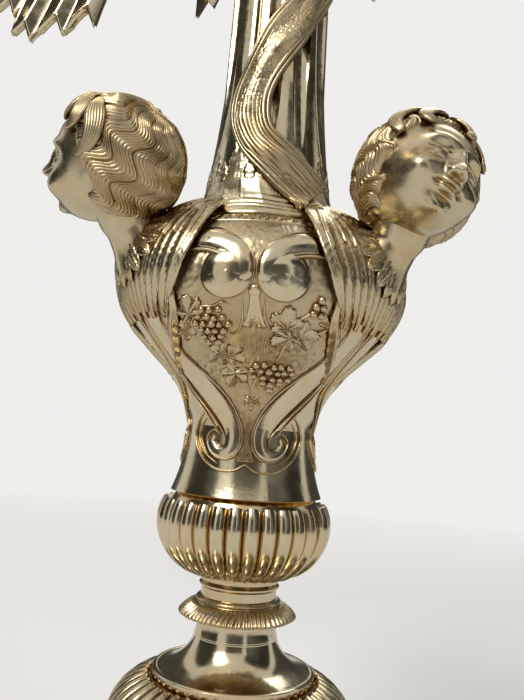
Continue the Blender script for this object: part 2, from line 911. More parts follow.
    def scrolls(self) -> Mesh:
        """Polished volutes and bands of one panel.

        Returns:
            The volutes and bands, joined.
        """
        tail = tapering((0.0, 0.3, 0.6, 0.85, 1.0), (3.6, 4.3, 4.0, 3.2, 1.2))
        band = tapering((0.0, 0.35, 0.6, 0.75, 0.9, 1.0), (3.4, 3.6, 2.9, 2.4, 1.7, 0.5))
        made = []
        for hand in (-1, 1):
            made.append(self.vase.boss((hand * 8.1, -1.7), self.disc_radius, 2.0))
            made.append(self.vase.strip(mirrored(self.scroll_tail, hand), tail,
                                        lambda across, along: 0.2 + 1.5 * rounded(across), 12, 60))
            made.append(self.vase.strip(mirrored(self.band_line, hand), band,
                                        lambda across, along: 0.1 + 0.95 * rounded(across), 12, 110))
        made.append(self.vase.strip(((0.2, -5.4), (0.3, -9.0), (0.5, -13.0), (0.6, -17.6)),
                                    lambda along: 1.4 + 0.5 * along + 1.9 * along ** 3,
                                    lambda across, along: 0.2 + (1.25 - 0.7 * along) * rounded(across)
                                    - 0.5 * along * hill(across, 0.0, 0.25), 12, 24))
        made.append(self.vase.boss((0.2, -6.6), 2.1, 1.5, 6, 20))
        return join(made)

    def lines(self) -> Mesh:
        """Thin raised lines that edge the bands and volutes.

        Returns:
            The lines, joined.
        """
        beside_outer = tuple((side + 1.25, up - 0.75) for side, up in self.outer_edge[:-1])
        kinds = ((self.scroll_edge, 0.42, 1.15, 80, 0.6), (self.hook, 0.5, 1.9, 50, 0.3),
                 (self.inner_edge, 0.45, 1.25, 130, 0.6), (self.outer_edge, 0.4, 1.2, 90, 0.6),
                 (beside_outer, 0.36, 0.95, 80, 0.6), (self.foot_scroll, 0.4, 1.0, 60, 0.6),
                 (self.foot_scroll_inner, 0.32, 0.8, 44, 0.6))
        return join([self.vase.wire(mirrored(knots, hand), *sizes)
                     for hand in (-1, 1) for knots, *sizes in kinds])

    def bunch(self, top: Sequence[float], rows: Sequence[int], lean: float,
              chance: random.Random) -> list[Mesh]:
        """A bunch of grapes.

        Args:
            top: Place of the middle of its top row.
            rows: Number of grapes in each row downwards.
            lean: Sideways drift of each row.
            chance: Source of small differences.

        Returns:
            Its grapes.
        """
        made = []
        pitch = self.berry * 2.05
        for row, count in enumerate(rows):
            for column in range(count):
                off = column - (count - 1) / 2
                side = top[0] + lean * row + off * pitch + chance.uniform(-0.3, 0.3)
                up = top[1] - row * pitch * 0.86 + chance.uniform(-0.3, 0.3)
                heart = 1.0 - abs(off) / max(1.0, count / 2.0)
                lift = 0.55 + 0.7 * heart + chance.uniform(-0.15, 0.15)
                spot = self.vase.lay(np.array([side]), np.array([up]), np.array([lift]))
                made.append(bead(spot[0], self.berry * chance.uniform(0.86, 1.05)))
        return made

    def vine(self) -> Mesh:
        """Grapes, leaves, tendrils and the tuft of stems of one panel.

        Returns:
            The vine, joined.
        """
        chance = random.Random(11)
        made = [grape for top, rows, lean in self.bunches for grape in self.bunch(top, rows, lean, chance)]
        made += [self.vase.vine_leaf(*leaf) for leaf in self.leaves]
        made += [self.vase.wire(knots, 0.5, 1.2, 36) for knots in self.stems]
        for share in np.linspace(-1.0, 1.0, 11):
            tuft = ((0.8 + share * 2.9, -18.0), (1.0 + share * 4.2, -23.0),
                    (1.4 + share * 4.6, -28.6 + 1.6 * abs(share)))
            made.append(self.vase.wire(tuft, 0.3, 0.85, 16))
        return join(made)

    def shoulder(self) -> Mesh:
        """The raised ring above the panels and the chased border between it and the mouth.

        Returns:
            The ring and border, joined.
        """
        def ring(across: Points, along: Points) -> Points:
            """Points of the ring."""
            up, lift = 17.3 + 1.3 * along, 0.9 * rounded(2.0 * along - 1.0) - SINK
            return self.vase.place(across * math.pi, up, lift)

        bud = self.vase.leaf(((-1.1, 18.9, 0.0), (0.2, 21.4, 0.1), (1.3, 24.6, 0.0)), 1.9, 0.3, 3.0, 8, 24)
        return join([sheet(288, 8, ring, weld=True), ring_of(bud, self.buds)])

    def build(self, shop: Workshop) -> None:
        """Make the front panel's pieces and turn copies to the others.

        Args:
            shop: Workshop that dresses and delivers the pieces.
        """
        for piece, name, finish, slot in (
                (self.ground(), "cartouche_ground", CHASED, Slot.SATIN),
                (self.scrolls(), "cartouche_scrolls", POLISHED, Slot.POLISHED),
                (self.lines(), "cartouche_lines", SATIN, Slot.POLISHED),
                (self.vine(), "cartouche_vine", SATIN, Slot.POLISHED)):
            copies = [turned_copy(piece, 360.0 * step / self.panels) for step in range(1, self.panels)]
            for step, item in enumerate([piece, *copies], start=1):
                shop.deliver(item, f"{name}_{step}", finish)
        shop.deliver(self.shoulder(), "shoulder_border", SATIN)


@dataclass
class FoldedWings:
    """A folded pair of wings under each cherub, feather by feather.

    Lines are given by degrees beside the pair's middle, upward millimetres and lifts.

    Attributes:
        wall: Thickness of the cast wing.
        quills: Number of long feathers in each wing.
        edge_along: Upward places where the shell's edge is given.
        edge_angle: Degrees from the middle to the edge there.
        vase: The measured surface of the vase.
    """

    wall: float = 2.6
    quills: int = 8
    edge_along: Row = (-7.0, -3.0, 4.0, 13.0, 20.0, 28.0, 33.5)
    edge_angle: Row = (20.0, 25.5, 30.5, 34.5, 31.0, 26.5, 22.5)
    vase: Turned = field(default_factory=lambda: vase_side(0.0))

    def around(self, knots: Knots, hand: int = 1) -> Knots:
        """Knots given by degrees, as sideways millimetres on the hand's side."""
        return [(math.radians(hand * angle) * float(self.vase.spread(np.array(up))), up, lift)
                for angle, up, lift in knots]

    def base(self) -> Mesh:
        """The cast shell that the feathers are chased on.

        Returns:
            The shell.
        """
        low, high = self.edge_along[0], self.edge_along[-1]

        def shell(across: Points, along: Points) -> Points:
            """Points of the shell."""
            up = low + (high - low) * along
            angle = np.radians(np.interp(up, self.edge_along, self.edge_angle)) * across
            return self.vase.place(angle, up, self.wall - 0.8 - 0.8 * np.abs(across) ** 6)

        return sheet(32, 32, shell, self.wall)

    def wing(self, hand: int) -> list[Mesh]:
        """One wing: long quills, its rolled front edge, coverts and small scale feathers.

        Args:
            hand: 1 or -1, for the side of the middle that it is on.

        Returns:
            Its feathers.
        """
        made = []
        for index in range(self.quills):
            share = index / 5.8
            proud = 0.9 * (1.2 - share)
            quill = ((23.0 - 15.0 * share, 31.5 - 3.0 * share, 2.5 + proud),
                     (31.0 - 23.0 * share, 21.0, 2.7 + proud), (33.0 - 26.0 * share, 10.0, 2.6 + proud),
                     (30.0 - 23.5 * share, 0.0, 2.4 + proud),
                     (23.5 - 19.0 * share, -12.0 - 2.2 * (index % 2), 1.2 + 0.5 * proud))
            made.append(self.vase.feather(self.around(quill, hand), 3.3, 21.0, 10, 90))
        for inset in (0.0, 1.1):
            edge = ((22.0 - inset, 32.5, 3.2), (31.0 - inset, 23.0, 3.9), (34.5 - inset, 12.0, 3.7),
                    (31.5 - inset, 1.0, 3.2), (26.0 - inset, -9.0, 2.4))
            made.append(self.vase.wire(self.around(edge, hand), 0.5, 0.8, 50))
        for share in np.linspace(0.0, 1.0, 5):
            covert = ((18.5 - 12.0 * share, 31.0 - 2.0 * share, 3.9), (26.0 - 19.0 * share, 22.0, 4.2),
                      (26.5 - 20.0 * share, 9.0 - 2.5 * share, 3.5))
            made.append(self.vase.feather(self.around(covert, hand), 2.9, 11.0, 10, 48))
        for share in np.linspace(0.0, 1.0, 5):
            angle = 21.0 - 21.0 * 0.88 * share
            scale = ((angle, 30.0, 4.2), (angle * 1.03, 25.0, 5.0), (angle * 1.05, 19.0, 4.2))
            made.append(self.vase.feather(self.around(scale, hand), 2.4, 6.0))
        return made

    def roll(self) -> Mesh:
        """The shoulder roll that joins both wings under the disc.

        Returns:
            The roll.
        """
        knots = self.around(((-24.0, 32.0, 0.6), (-14.0, 31.0, 2.4), (0.0, 29.0, 3.2), (14.0, 31.0, 2.4),
                             (24.0, 32.0, 0.6)))
        return self.vase.strip(knots, lambda along: 0.5 + 2.6 * rounded(2 * along - 1.0),
                               lambda across, along: 1.8 * rounded(across)
                               + 0.18 * np.cos((along * 22.0 + across * 0.8) * TAU), 10, 60, 1.6)

    def ruff(self) -> list[Mesh]:
        """Small feathers that spread from the foot of the neck.

        Returns:
            Its feathers.
        """
        made = []
        for inner, outer, count, lift in ((6.5, 15.0, 13, 3.6), (5.5, 11.5, 11, 4.4)):
            for angle in np.radians(np.linspace(-215.0, 35.0, count)):
                knots = [(reach * math.cos(angle), 9.5 + reach * math.sin(angle) * 0.9, lift + rise)
                         for reach, rise in ((inner, 2.0), ((inner + outer) / 2, 0.9), (outer, -0.5))]
                made.append(self.vase.feather(knots, 2.0, 6.0))
        return made

    def husk(self, hand: int) -> Mesh:
        """A narrow curled leaf that runs down from the wing's tip.

        Args:
            hand: 1 or -1, for the side of the middle that it is on.

        Returns:
            The leaf.
        """
        def outline(along: Points) -> Points:
            """Half width, with scallops."""
            body = 0.4 + 1.5 * np.sin(math.pi * np.clip(along, 0.02, 0.98)) ** 0.7
            return body * (1.0 + 0.05 * np.cos(along * 9.0 * TAU))

        def curled(across: Points, along: Points) -> Points:
            """Body and midrib, with lobes."""
            lobes = 0.12 * np.cos((along * 9.0 - 0.3 * np.abs(across)) * TAU) * np.abs(across)
            return 0.9 * (1.0 - across ** 2) + 0.5 * hill(across, 0.0, 0.2) + lobes

        knots = self.around(((27.0, -4.0, 0.8), (26.0, -12.0, 1.3), (20.0, -20.0, 1.0), (13.0, -28.0, 0.7),
                             (8.0, -34.5, 0.3)), hand)
        return self.vase.strip(knots, outline, curled, 8, 70, 0.7)

    def build(self, shop: Workshop) -> None:
        """Make one pair at the front and turn it under each cherub.

        Args:
            shop: Workshop that dresses and delivers the pieces.
        """
        pair = join([self.base(), self.roll(), *self.wing(1), *self.wing(-1), *self.ruff(), self.husk(1),
                     self.husk(-1)])
        for side, azimuth in CHERUBS:
            shop.deliver(turned_copy(pair, azimuth), f"feathered_wings_{side}", SATIN,
                         replaces=(f"wing_pair_{side}",))
        bpy.data.objects.remove(pair)


@dataclass
class CherubHeads:
    """Three heads from one mould: a calm round child's face of general proportions under wavy hair.

    In the mould X is ahead, Y to the head's left and Z up. Angles are in degrees.

    Attributes:
        reach: Distance of the head's middle from the stem.
        height: Height of the head's middle.
        skull: Radius of the cranium as modelled.
        size: Share of the modelled size at which the head is cast.
        turn: Turn to the head's own right.
        lift: Upward look.
        tilt: Lean of the crown to the head's own left.
        strands: Number of strands of hair round the whorl.
        whorl: Elevation of the whorl, past the crown.
        wave: How far the waves swing.
        wave_length: Length of a wave, down from the whorl.
        ridge: Height of a strand.
        bulge: Height of a lock of strands.
        fullness: Extra height of the hair at the sides.
        hairline_turn: Angles round the whorl from the front where the hair's length is given.
        hairline_reach: How far down from the whorl the hair reaches there.
        forms: Azimuth, elevation, width round, width up and height of each swelling or hollow. It is
            on both sides where the azimuth isn't zero.
        front_lock: Azimuth, elevation and lift of the lock on the forehead.
        side_locks: The same and the half width of the locks on each temple.
    """

    reach: float = 54.0
    height: float = 216.5
    skull: float = 20.2
    size: float = 0.945
    turn: float = 29.0
    lift: float = 9.0
    tilt: float = 25.0
    strands: int = 96
    whorl: float = 120.0
    wave: float = 7.5
    wave_length: float = 31.0
    ridge: float = 0.62
    bulge: float = 1.05
    fullness: float = 0.9
    hairline_turn: Row = (0.0, 25.0, 46.0, 63.0, 80.0, 95.0, 112.0, 130.0, 150.0, 180.0)
    hairline_reach: Row = (80.0, 80.0, 80.0, 97.0, 116.0, 126.0, 131.0, 130.0, 122.0, 112.0)
    forms: Line = (
        (22.0, 11.5, 14.0, 4.6, 1.3), (21.0, -3.0, 11.5, 7.6, -3.0), (21.5, -4.0, 7.4, 4.8, 2.9),
        (21.5, 1.6, 8.8, 1.3, 1.2), (21.5, -8.8, 8.0, 1.3, 0.9), (0.0, -5.0, 4.8, 11.0, 2.2),
        (0.0, -17.0, 5.8, 5.8, 3.7), (7.8, -18.8, 4.0, 3.8, 1.9), (3.6, -23.4, 2.0, 1.3, -1.0),
        (12.4, -19.5, 2.6, 4.6, -0.8), (0.0, -25.6, 1.9, 2.2, -0.5), (4.6, -28.6, 5.8, 2.3, 1.8),
        (0.0, -34.8, 7.0, 2.8, 2.1), (0.0, -31.6, 11.5, 1.0, -0.9), (13.0, -31.4, 2.8, 2.8, -1.2),
        (0.0, -49.5, 9.5, 7.0, 2.7), (34.0, -24.0, 14.0, 12.0, 2.4), (0.0, -40.6, 8.6, 2.7, -1.3),
        (0.0, 26.0, 32.0, 16.0, 0.8), (82.0, -12.0, 9.0, 11.0, 0.8))
    front_lock: Line = ((-20, 74, 0.8), (-9, 62, 1.5), (5, 52, 1.6), (11, 43, 1.0), (4, 34, 0.1))
    side_locks: tuple[tuple[Line, float], ...] = (
        (((16, 76, 0.8), (32, 62, 1.6), (45, 49, 1.8), (47, 36, 1.2), (36, 28, 0.1)), 2.7),
        (((44, 72, 1.0), (62, 54, 1.9), (72, 36, 2.1), (71, 20, 1.5), (61, 10, 0.1)), 2.9))

    def mould(self, direction: Points) -> Points:
        """Distance of the bare head's surface from its middle, for unit rows.

        Args:
            direction: Directions from the middle, as unit rows.

        Returns:
            A distance for each row.
        """
        def ball(middle: Sequence[float], size: Sequence[float]) -> Points:
            """Distance of an ellipsoid's surface."""
            c, s = np.asarray(middle), np.asarray(size)
            a = ((direction / s) ** 2).sum(1)
            b = (direction * c / s ** 2).sum(1)
            return (b + np.sqrt(np.maximum(b * b - a * (((c / s) ** 2).sum() - 1.0), 0.0))) / a

        blend = 1.1
        cranium = ball((-1.2, 0.0, 1.2), (self.skull, self.skull * 0.93, self.skull * 0.97))
        cheeks = ball((6.2, 0.0, -5.6), (13.4, 14.6, 14.4))
        return blend * np.log(np.exp(cranium / blend) + np.exp(cheeks / blend)) - 0.4

    def face_surface(self, direction: Points) -> Points:
        """Distance of the face's surface, with its forms, for unit rows.

        Args:
            direction: Directions from the middle, as unit rows.

        Returns:
            A distance for each row.
        """
        azimuth = np.degrees(np.arctan2(direction[:, 1], direction[:, 0]))
        level = np.degrees(np.arcsin(np.clip(direction[:, 2], -1.0, 1.0)))
        narrow = np.maximum(0.25, np.cos(np.radians(level)))
        reach = self.mould(direction)
        for turn, rise, wide, tall, height in self.forms:
            for side in ((1, -1) if turn else (1,)):
                reach += height * hill((azimuth - side * turn) * narrow, 0.0, wide) * hill(level, rise, tall)
        return reach

    def face(self) -> Mesh:
        """The whole head, with its points drawn together in front.

        Returns:
            The head, without hair.
        """
        alone()
        bpy.ops.mesh.primitive_uv_sphere_add(segments=200, ring_count=150, radius=1.0)
        piece = bpy.context.active_object
        points = coordinates(piece)
        azimuth = np.arctan2(points[:, 1], points[:, 0])
        level = np.arcsin(np.clip(points[:, 2], -1.0, 1.0))
        azimuth = azimuth - 0.55 * np.sin(azimuth)
        level = level - 0.12 * np.sin(2 * (level + 0.35)) + 0.12 * math.sin(0.7) * np.cos(level)
        level = np.clip(level, -math.pi / 2, math.pi / 2)
        direction = about_stem(np.cos(level), azimuth, np.sin(level))
        move_points(piece, direction * self.face_surface(direction)[:, None])
        return tidy_mesh(piece)

    def hair(self) -> Mesh:
        """Wavy locks combed from the whorl, four faces to a strand.

        Returns:
            The hair.
        """
        chance = random.Random(7)
        sizes, proud, long = [], [], []
        while sum(sizes) < self.strands:
            sizes.append(min(chance.choice((4, 5, 6, 7)), self.strands - sum(sizes)))
            proud.append(chance.uniform(-0.35, 0.45))
            long.append(chance.uniform(0.95, 1.05))
        first = np.repeat(np.cumsum(sizes) - sizes, sizes)
        width, stand, length = np.repeat(sizes, sizes), np.repeat(proud, sizes), np.repeat(long, sizes)
        axis = math.radians(self.whorl)
        up = np.array([math.cos(axis), 0.0, math.sin(axis)])
        front = np.array([math.sin(axis), 0.0, -math.cos(axis)])
        left = np.array([0.0, 1.0, 0.0])

        def combed(across: Points, along: Points) -> Points:
            """Points of the hair, round the whorl and down from it."""
            strand = (across + 1.0) / 2.0 * self.strands
            number = np.minimum((strand + 1e-6).astype(int), self.strands)
            own = number % self.strands
            within = strand - number
            inside = np.clip((within + own - first[own]) / width[own], 0.0, 1.0)
            psi, turned = across * math.pi, across * 180.0
            limit = np.interp(np.abs(turned), self.hairline_turn, self.hairline_reach) * length[own]
            limit += 7.0 * hill(turned, -72.0, 34.0) - 8.0 * hill(turned, 78.0, 30.0)
            down = limit * along ** 0.92
            theta = np.radians(down)
            ramp = np.clip(down / 34.0, 0.0, 1.0) ** 1.5
            phase = 1.3 * np.sin(2 * psi + 0.4) + 0.8 * np.sin(3 * psi + 1.0)
            wave = math.radians(self.wave) * ramp * np.sin(down / self.wave_length * TAU + phase)
            turn = psi + wave + math.radians(9.0) * np.sin(psi) * ramp
            outward = np.cos(turn)[:, None] * front + np.sin(turn)[:, None] * left
            direction = np.cos(theta)[:, None] * up + np.sin(theta)[:, None] * outward
            ridge = self.ridge * np.sin(math.pi * within) ** 0.7
            bulge = self.bulge * np.sin(math.pi * inside) ** 0.6
            body = self.fullness * hill(np.abs(turned), 95.0, 42.0) * ramp
            lift = 0.7 + body + (stand[own] + ridge + bulge) * np.clip(along * 7.0, 0.0, 1.0)
            finish = np.clip((1.0 - along) * 7.0, 0.0, 1.0) ** 0.6
            return direction * (self.mould(direction) + lift * finish - 0.4 * (1.0 - finish))[:, None]

        return sheet(self.strands * 4, 92, combed, weld=True)

    def lock(self, knots: Knots, half: float, strands: int = 7) -> Mesh:
        """A separate curl on the head.

        Args:
            knots: Azimuth, elevation and lift of its knots.
            half: Half its widest width.
            strands: Number of combed strands in it.

        Returns:
            The curl.
        """
        def aim(share: Points) -> Points:
            """Directions of the lock's middle line."""
            azimuth, level = np.radians(smooth_line(knots, share)[:, :2]).T
            return about_stem(np.cos(level), azimuth, np.sin(level))

        def lay(across: Points, along: Points) -> Points:
            """Points of the lock."""
            middle = aim(along)
            side = unit(np.cross(middle, heading(aim, along, 0.02)))
            slim = half * rounded(along, 2.5) * np.minimum(1.0, 0.08 + 2.4 * along)
            direction = unit(middle + side * (across * slim / self.skull)[:, None])
            lift = (smooth_line(knots, along)[:, 2] + 0.4) * np.minimum(1.0, 0.2 + 3.0 * along)
            lift += 0.5 * rounded(across) + 0.5 * np.abs(np.sin(across * math.pi * strands / 2))
            return direction * (self.mould(direction) + lift)[:, None]

        return sheet(strands * 4, 30, lay, thickness=0.9)

    def curls(self) -> list[Mesh]:
        """Loose locks that break the hairline on the forehead and temples.

        Returns:
            The locks.
        """
        made = [self.lock(self.front_lock, 2.6)]
        for spread in (1.13, -1.0):
            made += [self.lock([(azimuth * spread, level, lift) for azimuth, level, lift in knots], half)
                     for knots, half in self.side_locks]
        return made

    def neck(self) -> Mesh:
        """Short round neck with two soft creases, from the wings up into the head.

        Returns:
            The neck.
        """
        def axis(share: Points) -> Points:
            """Places out from the stem and up of the neck's middle line."""
            return smooth_line(((40.5, 187.5), (44.8, 195.0), (49.2, 202.0), (52.0, 211.5)), share)

        def column(across: Points, along: Points) -> Points:
            """Points of the neck."""
            middle, ahead = axis(along), heading(axis, along, 0.02)
            crease = 0.35 * hill(along, 0.5, 0.07) + 0.3 * hill(along, 0.7, 0.07)
            radius = 10.2 - 2.0 * np.sin(math.pi * np.clip(along * 1.2, 0.0, 1.0)) - crease
            radius *= 1.0 - 0.5 * np.clip(along * 5.0 - 4.0, 0.0, 1.0) ** 2
            out, side = radius * np.cos(across * math.pi), radius * np.sin(across * math.pi)
            return np.column_stack([middle[:, 0] + out * ahead[:, 1], side, middle[:, 1] - out * ahead[:, 0]])

        return sheet(48, 40, column, weld=True)

    def build(self, shop: Workshop) -> None:
        """Cast one head, then set a copy over each pair of wings.

        Args:
            shop: Workshop that dresses and delivers the pieces.
        """
        pose = Matrix.Translation((self.reach, 0.0, self.height))
        for angle, axis in ((self.turn, "Z"), (self.lift, "Y"), (self.tilt, "X")):
            pose = pose @ Matrix.Rotation(-math.radians(angle), 4, axis)
        pose = pose @ Matrix.Scale(self.size, 4)
        head = self.face()
        head.data.transform(pose)
        hair = join([self.hair(), *self.curls()])
        hair.data.transform(pose)
        head = join([head, self.neck()])
        for side, azimuth in CHERUBS:
            shop.deliver(turned_copy(head, azimuth), f"cherub_face_{side}", SATIN,
                         replaces=(f"cherub_head_{side}",))
            shop.deliver(turned_copy(hair, azimuth), f"cherub_hair_{side}", CHASED)
        bpy.data.objects.remove(head)
        bpy.data.objects.remove(hair)


@dataclass
class ColumnDress:
    """The veil that winds down the column, the trumpet foot, and the leaves at its foot and head.

    Attributes:
        foot: Height of the column's foot.
        tall: Height of the shaft.
        girth: Millimetres for each degree on the shaft.
        width: Width of the veil.
        threads: Rows of woven grains in half the veil's width.
        grains: Number of grains along the veil.
        flare_height: Heights on the trumpet foot, where the veil lies on it.
        flare_radius: Radii of the trumpet foot at those heights.
        route: Degrees round the shaft and share of its height for the veil's middle line.
        trumpet_line: Radius and height of the trumpet foot's outline.
    """

    foot: float = 216.4
    tall: float = 176.0
    girth: float = 0.302
    width: float = 13.5
    threads: float = 16.0
    grains: float = 125.0
    flare_height: Row = (207.2, 208.0, 208.8, 210.0, 211.8, 214.2, 217.4, 221.0)
    flare_radius: Row = (24.9, 25.5, 25.2, 23.9, 22.7, 21.7, 21.15, 12.0)
    route: Line = ((232.0, 0.93), (150.0, 0.70), (84.0, 0.50), (28.0, 0.345), (0.0, 0.26), (-21.0, 0.165),
                   (-14.0, 0.09), (14.0, 0.03), (40.0, -0.022))
    trumpet_line: Line = ((25.5, 203.2), (28.3, 203.5), (28.2, 204.9), (26.7, 206.6), (25.0, 208.5),
                          (23.3, 210.9), (22.0, 213.8), (21.25, 217.0), (20.6, 218.4), (19.0, 218.4))

    def weave(self, across: Points, along: Points) -> Points:
        """Relief of the veil between its hems: creases, with woven grains above and fine lines below.

        Args:
            across: Shares across the veil, from -1 to 1.
            along: Shares along it, from 0 to 1.

        Returns:
            A height for each place.
        """
        crease = 0.55 * np.cos(across * 4.4 + 1.5 * np.sin(along * 11.0) + 0.6 * np.sin(along * 27.0))
        row = np.floor(across * self.threads)
        place = along * self.grains + 0.5 * (row % 2)
        chance = np.sin(row * 12.9898 + np.floor(place) * 78.233) * 43758.5453    # scatters the cells
        grain = 0.13 * ((chance - np.floor(chance)) > 0.35) * np.sin(math.pi * (place % 1.0)) ** 0.5
        line = 0.2 * np.cos(across * 34.0 + 1.2 * np.sin(along * 19.0))
        plain = np.clip((along - 0.55) * 5.0, 0.0, 1.0)
        return crease + grain * (1.0 - plain) + line * plain

    def veil(self, shaft: Turned) -> Mesh:
        """The veil: hems with rows of stitches, long creases and woven grains.

        Args:
            shaft: The shaft's measured surface.

        Returns:
            The veil.
        """
        def axis(share: Points) -> Points:
            """Sideways and upward places of the veil's middle line."""
            knots = [(turn * self.girth, self.foot + self.tall * up) for turn, up in self.route]
            return smooth_line(knots, share)

        def drape(across: Points, along: Points) -> Points:
            """Points of the veil."""
            middle, ahead = axis(along), heading(axis, along)
            widening = 1.0 + 0.05 * np.sin(along * 31.0) + 0.45 * np.clip(along * 5 - 4, 0, 1) ** 2
            offset = across * self.width / 2 * widening
            height = middle[:, 1] + offset * ahead[:, 0]
            under = np.maximum(np.interp(height, shaft.heights, shaft.radii),
                               np.interp(height, self.flare_height, self.flare_radius))
            hem = 0.26 * np.cos(np.abs(across) * 44.0) * (np.abs(across) > 0.66)
            inner = self.weave(across, along) * (np.abs(across) < 0.64)
            reach = under + 1.3 + hem + inner - 0.5 * np.abs(across) ** 8
            turn = math.radians(FRONT) + np.radians(middle[:, 0] / self.girth) - offset * ahead[:, 1] / reach
            return about_stem(reach, turn, height)

        return tidy_mesh(sheet(46, 480, drape, thickness=1.1))

    def trumpet(self) -> Mesh:
        """The foot that flares like a trumpet down to the vase's mouth, with chased ripples.

        Returns:
            The trumpet foot.
        """
        def chase(angle: Points, along: Points, _: Points) -> tuple[Points, Points]:
            """Ripples, scratches and folds."""
            wave = np.abs(np.sin(angle * 9.0 + 4.0 * along + 0.8 * np.sin(angle * 4.0)))
            ripple = 0.55 * (1.0 - wave) ** 2 * hill(along, 0.6, 0.12)
            scratch = 0.1 * np.cos(angle * 150.0 + 26.0 * along) * hill(along, 0.6, 0.15)
            fold = 0.32 * np.cos((along * 11.0 + 0.3 * np.sin(angle * 5.0)) * TAU) * hill(along, 0.42, 0.14)
            return ripple + scratch + fold, np.zeros_like(along)

        return turned_shell(self.trumpet_line, 360, 46, chase)

    def foot_leaves(self, shaft: Turned) -> Mesh:
        """Low leaves chased round the column's foot, one under each flute's end.

        Args:
            shaft: The shaft's measured surface.

        Returns:
            The leaves, joined.
        """
        line = ((0.0, 0.6, -0.3), (0.0, 5.0, -0.1), (0.0, 9.0, -0.1), (0.0, 13.0, -0.3))
        tall = shaft.leaf(line, 4.4, 0.2, 4.0)
        low = shaft.leaf(((0.0, 0.6, -0.2), (0.0, 4.0, 0.0), (0.0, 8.0, -0.2)), 3.0, 0.3, 3.0, rows=30)
        low.data.transform(Matrix.Rotation(math.radians(15.0), 4, "Z"))
        return ring_of(join([tall, low]), 12)

    def capital_leaves(self) -> Mesh:
        """Leaves that bend out from the capital's bell.

        Returns:
            The leaves, joined.
        """
        bell = Turned("column_capital", 392.8, 408.6, 393.0, FRONT)
        knots = ((0.0, 1.5, 0.1), (0.0, 7.0, 0.3), (0.0, 12.5, 0.9), (0.0, 15.5, 2.2))
        return ring_of(bell.leaf(knots, 4.4, 0.7, 4.0), 10)

    def build(self, shop: Workshop) -> None:
        """Lay the veil and the leaves.

        Args:
            shop: Workshop that dresses and delivers the pieces.
        """
        shaft = Turned("fluted_column", self.foot + 0.1, self.foot + self.tall - 0.2, self.foot, FRONT)
        shop.deliver(self.veil(shaft), "draped_veil", CHASED, replaces=("column_veil",))
        shop.deliver(self.foot_leaves(shaft), "column_foot_leaves", SATIN)
        shop.deliver(self.trumpet(), "column_trumpet", SATIN, replaces=("column_disc",))
        shop.deliver(self.capital_leaves(), "capital_leaves", SATIN)


@dataclass
class StemDress:
    """Chasing on the turned pieces of the stem and foot.

    Attributes:
        leaves: Number of the collar's leaves.
        ribs: Number of the cushion's gadroons.
        band_leaves: Number of leaves in the foot's band.
        collar_line: Radius and height of the collar's outline.
        throat_line: Radius and height of the throat's outline.
    """

    leaves: int = 66
    ribs: int = 44
    band_leaves: int = 20
    collar_line: Line = ((12.1, 84.9), (13.2, 84.6), (13.8, 83.9), (13.4, 83.2), (13.9, 82.7), (15.2, 82.0),
                         (16.7, 80.9), (17.9, 79.4), (18.1, 78.6), (16.6, 78.3), (14.4, 78.4), (12.4, 78.6))
    throat_line: Line = ((12.0, 78.9), (12.8, 78.2), (12.75, 76.8), (12.9, 75.2), (13.2, 73.8), (13.46, 72.5))

    def collar(self) -> Mesh:
        """The leaf collar: a thin skirt of narrow leaves that droops from a ring under the neck.

        Returns:
            The collar.
        """
        def cut_leaves(angle: Points, along: Points, radius: Points) -> tuple[Points, Points]:
            """Leaves that swell and droop towards the rim."""
            share = np.clip((radius - 13.8) / 4.2, 0.0, 1.0) * (along < 0.8)
            bend = 0.9 * np.sin(angle * 7.0) + 0.5 * np.sin(angle * 13.0)
            leaf = np.abs(np.sin(angle * self.leaves / 2 + share * (1.6 + bend)))
            rise = 0.75 * leaf ** 0.7 * np.minimum(1.0, share * 4.0)
            return 0.5 * rise + 0.55 * leaf * share ** 3, 0.85 * rise

        return turned_shell(self.collar_line, self.leaves * 8, 44, cut_leaves)

    def cushion_ribs(self) -> Mesh:
        """Gadroons that run up the cushion to the spool's rim.

        Returns:
            The gadroons, joined.
        """
        surface = Turned("foot_dome", 33.0, 59.4, 52.0, FRONT)
        knots = ((0.0, 11.4, 0.1), (0.0, 6.0, 0.9), (0.0, -2.0, 1.1), (0.0, -13.0, 0.2))
        return ring_of(surface.leaf(knots, 2.15, 1.1, 0.0, 8, 20), self.ribs)

    def foot_band(self) -> Mesh:
        """A band of leaves round the foot's dome.

        Returns:
            The leaves, joined.
        """
        surface = Turned("foot_dome", 12.0, 28.0, 20.0, FRONT)
        knots = ((0.0, -26.0, 0.2), (0.0, -10.0, 0.7), (0.0, 4.0, 0.9), (0.0, 14.0, 0.4))
        return ring_of(surface.leaf(knots, 7.0, 0.9, 5.0, rows=34), self.band_leaves)

    def build(self, shop: Workshop) -> None:
        """Make the stem's bands.

        Args:
            shop: Workshop that dresses and delivers the pieces.
        """
        shop.deliver(self.collar(), "collar_leaves", SATIN, replaces=("leaf_collar",))
        shop.deliver(turned_shell(self.throat_line, 96, 24), "collar_throat", POLISHED)
        shop.deliver(self.cushion_ribs(), "cushion_gadroons", SATIN)
        shop.deliver(self.foot_band(), "foot_leaf_band", SATIN)


